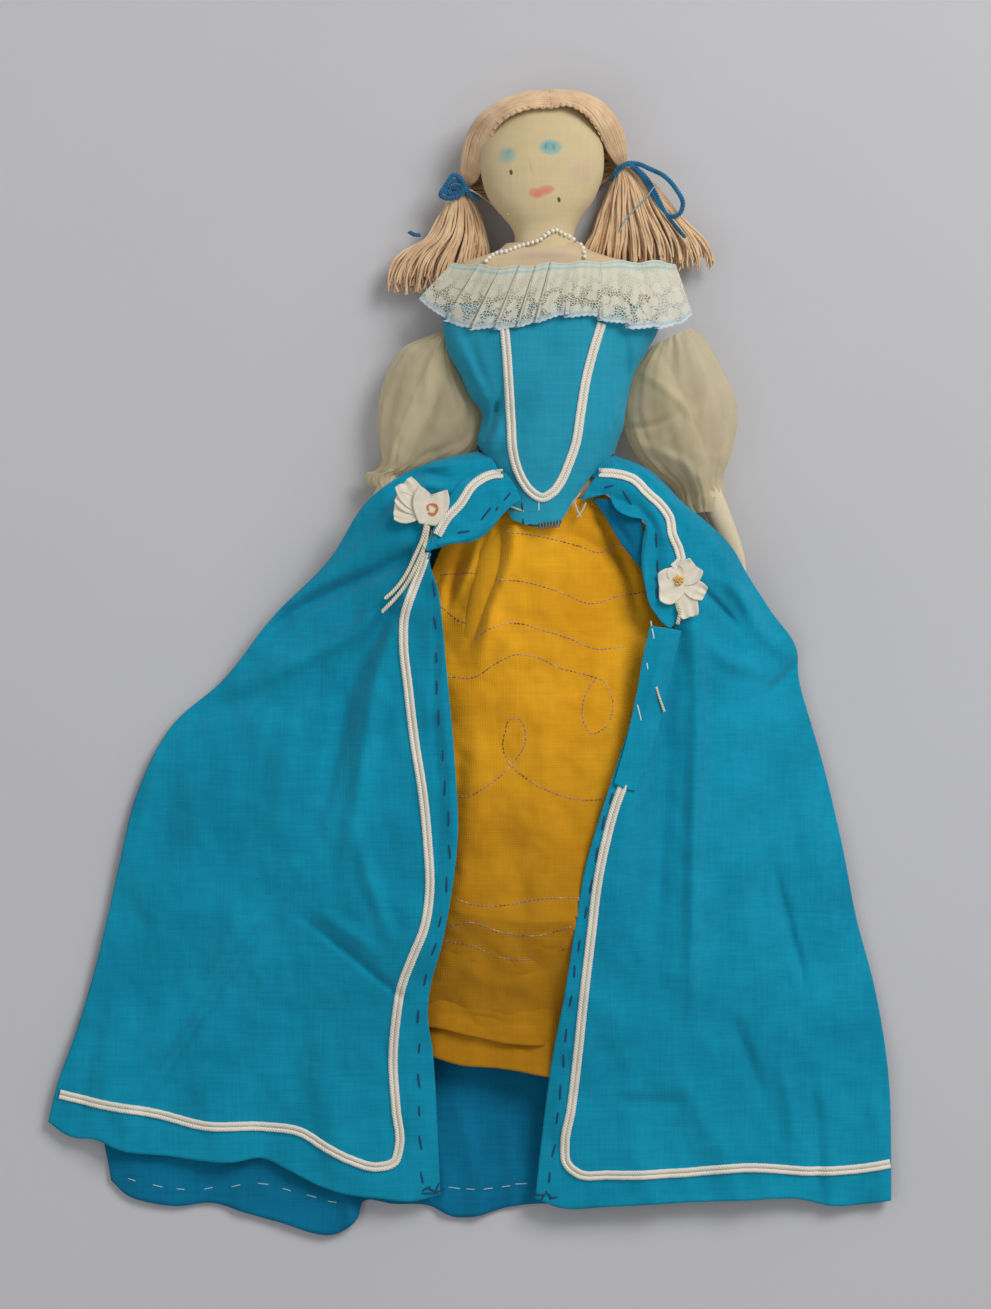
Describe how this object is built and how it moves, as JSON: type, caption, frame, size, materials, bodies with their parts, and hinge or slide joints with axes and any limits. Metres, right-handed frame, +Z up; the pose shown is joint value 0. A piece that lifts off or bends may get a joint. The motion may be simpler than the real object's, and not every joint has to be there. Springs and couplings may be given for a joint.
{
  "type": "topsy turvy doll",
  "caption": "Double-ended stuffed cotton doll lying on its back: yarn hair, lace collar, sheer sleeves and an open overskirt over a petticoat that hides the other doll.",
  "frame": {"origin": "on the table, under the middle of the doll as it lies on its back", "axes": "+Y up the first doll's body to the top of its head, +Z up out of its chest, +X to its left-hand side as seen from above"},
  "size_m": [0.3413, 0.4568, 0.0388],
  "materials": {
    "muslin": "woven cream cotton muslin, matte",
    "cotton_yarn": "peach-blonde cotton yarn, matte",
    "turquoise_cotton": "plain turquoise cotton, matte",
    "yellow_cotton": "plain yellow cotton, matte",
    "organza": "sheer cream organza",
    "lace": "gathered off-white lace",
    "soutache": "flat cream soutache braid",
    "blue_cord": "thin blue cord",
    "pearl": "pearly seed beads",
    "petal_ribbon": "cream ribbon",
    "white_elastic": "white gathering elastic"
  },
  "bodies": {
    "doll": {"torso": "muslin", "bodice": "turquoise_cotton", "bodice_braid": "soutache", "head": "muslin", "hair_cap": "cotton_yarn", "pigtail_left": "cotton_yarn", "pigtail_right": "cotton_yarn", "hair_bow_left": "blue_cord", "hair_bow_right": "blue_cord", "pearl_necklace": "pearl", "lace_collar": "lace", "second_torso": "muslin", "second_bodice": "yellow_cotton", "second_head": "muslin", "second_hair_knot": "cotton_yarn", "petticoat_front": "yellow_cotton", "petticoat_lining": "yellow_cotton", "petticoat_back": "yellow_cotton", "waist_elastic": "white_elastic", "overskirt_side_left": "turquoise_cotton", "swag_left": "turquoise_cotton", "swag_braid_left": "soutache", "hem_braid_left": "soutache", "overskirt_side_right": "turquoise_cotton", "swag_right": "turquoise_cotton", "swag_braid_right": "soutache", "hem_braid_right": "soutache", "overskirt_back": "turquoise_cotton", "flower_left": "petal_ribbon", "flower_right": "petal_ribbon", "flower_stem_left_upper": "petal_ribbon", "flower_stem_left_lower": "petal_ribbon", "flower_stem_right": "petal_ribbon"},
    "left_arm": {"arm_left": "muslin", "sleeve_left": "organza"},
    "right_arm": {"arm_right": "muslin", "sleeve_right": "organza"},
    "left_front": {"overskirt_front_left": "turquoise_cotton", "front_braid_left": "soutache"},
    "right_front": {"overskirt_front_right": "turquoise_cotton", "front_braid_right": "soutache"},
    "second_left_arm": {"second_arm_left": "muslin"},
    "second_right_arm": {"second_arm_right": "muslin"}
  },
  "joints": [
    {"name": "left_arm_swing", "type": "hinge", "parent": "doll", "child": "left_arm", "pos_m": [-0.0121, 0.125, 0.0095], "axis": [0, 0, -1], "range_deg": [0, 55]},
    {"name": "right_arm_swing", "type": "hinge", "parent": "doll", "child": "right_arm", "pos_m": [0.0729, 0.125, 0.0095], "axis": [0, 0, 1], "range_deg": [0, 55]},
    {"name": "left_front_fold", "type": "hinge", "parent": "doll", "child": "left_front", "pos_m": [-0.01748, 0.04164, 0.03293], "axis": [-0.4071, -0.909, -0.0894], "range_deg": [0, 140]},
    {"name": "right_front_fold", "type": "hinge", "parent": "doll", "child": "right_front", "pos_m": [0.08238, 0.01342, 0.03293], "axis": [-0.2076, 0.9731, 0.0998], "range_deg": [0, 140]},
    {"name": "second_left_arm_swing", "type": "hinge", "parent": "doll", "child": "second_left_arm", "pos_m": [-0.01734, -0.01673, 0.0084], "axis": [0, 0, 1], "range_deg": [0, 6]},
    {"name": "second_right_arm_swing", "type": "hinge", "parent": "doll", "child": "second_right_arm", "pos_m": [0.0685, -0.02198, 0.0084], "axis": [0, 0, -1], "range_deg": [0, 6]}
  ]
}
